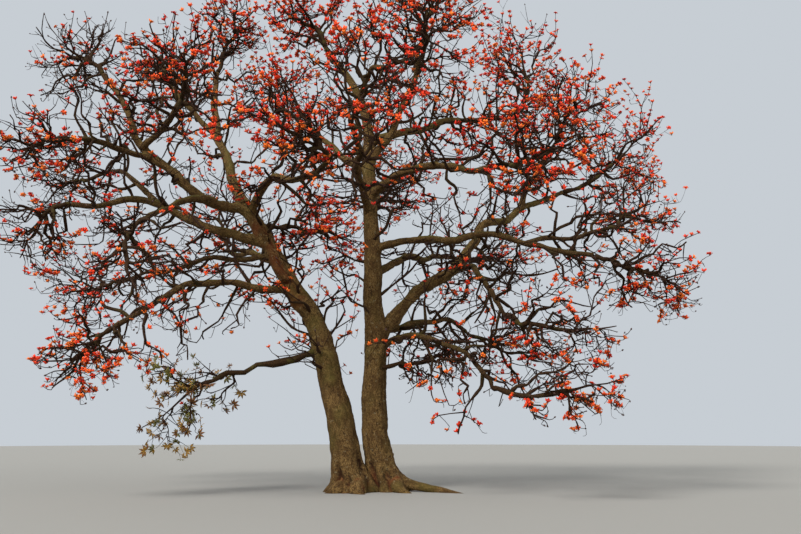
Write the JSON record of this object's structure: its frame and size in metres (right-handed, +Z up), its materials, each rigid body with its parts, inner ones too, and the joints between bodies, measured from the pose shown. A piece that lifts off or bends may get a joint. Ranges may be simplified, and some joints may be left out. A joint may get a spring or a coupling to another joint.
{
  "type": "red silk cotton tree",
  "caption": "Spreading tree with two trunks from one root, bare gnarled boughs and masses of fine twigs in red-orange blossom.",
  "frame": {"origin": "on the flat cut under the trunks at ground level, in the foot of the left trunk where the two meet", "axes": "+Z up, +X to the right of the tree as the picture shows it, -Y towards the viewer"},
  "size_m": [23.9056, 18.1842, 17.9481],
  "materials": {
    "bark": "rough furrowed bark, grey-brown with moss",
    "blossom": "matt petals on dark twigs",
    "old_leaves": "dull olive-brown leaves"
  },
  "bodies": {
    "root": {"left_trunk": "bark", "right_trunk": "bark", "left_low_bough": "bark", "left_middle_bough": "bark", "left_long_bough": "bark", "left_leader_bough": "bark", "left_upper_bough": "bark", "left_inward_bough": "bark", "left_rear_bough": "bark", "left_cross_bough": "bark", "left_fork_bough": "bark", "left_outer_bough": "bark", "left_inner_bough": "bark", "left_west_bough": "bark", "right_great_bough": "bark", "right_low_bough": "bark", "right_lower_bough": "bark", "right_level_bough": "bark", "right_shoulder_bough": "bark", "right_high_bough": "bark", "right_leader_bough": "bark", "centre_left_bough": "bark", "front_bough": "bark", "rear_bough": "bark", "rear_right_bough": "bark", "arching_bough": "bark", "right_crown_bough": "bark", "right_falling_bough": "bark", "right_branch_bough": "bark", "left_low_mass": "blossom", "left_middle_mass": "blossom", "left_long_mass": "blossom", "left_leader_mass": "blossom", "left_upper_mass": "blossom", "left_inward_mass": "blossom", "left_rear_mass": "blossom", "left_cross_mass": "blossom", "left_fork_mass": "blossom", "left_outer_mass": "blossom", "left_inner_mass": "blossom", "left_west_mass": "blossom", "right_great_mass": "blossom", "right_low_mass": "blossom", "right_lower_mass": "blossom", "right_level_mass": "blossom", "right_shoulder_mass": "blossom", "right_high_mass": "blossom", "right_leader_mass": "blossom", "centre_left_mass": "blossom", "front_mass": "blossom", "rear_mass": "blossom", "rear_right_mass": "blossom", "arching_mass": "blossom", "right_crown_mass": "blossom", "right_falling_mass": "blossom", "right_branch_mass": "blossom", "top_mass": "blossom", "centre_shoots": "blossom", "right_low_shoots": "blossom", "leafy_low_limb": "old_leaves"}
  },
  "joints": []
}
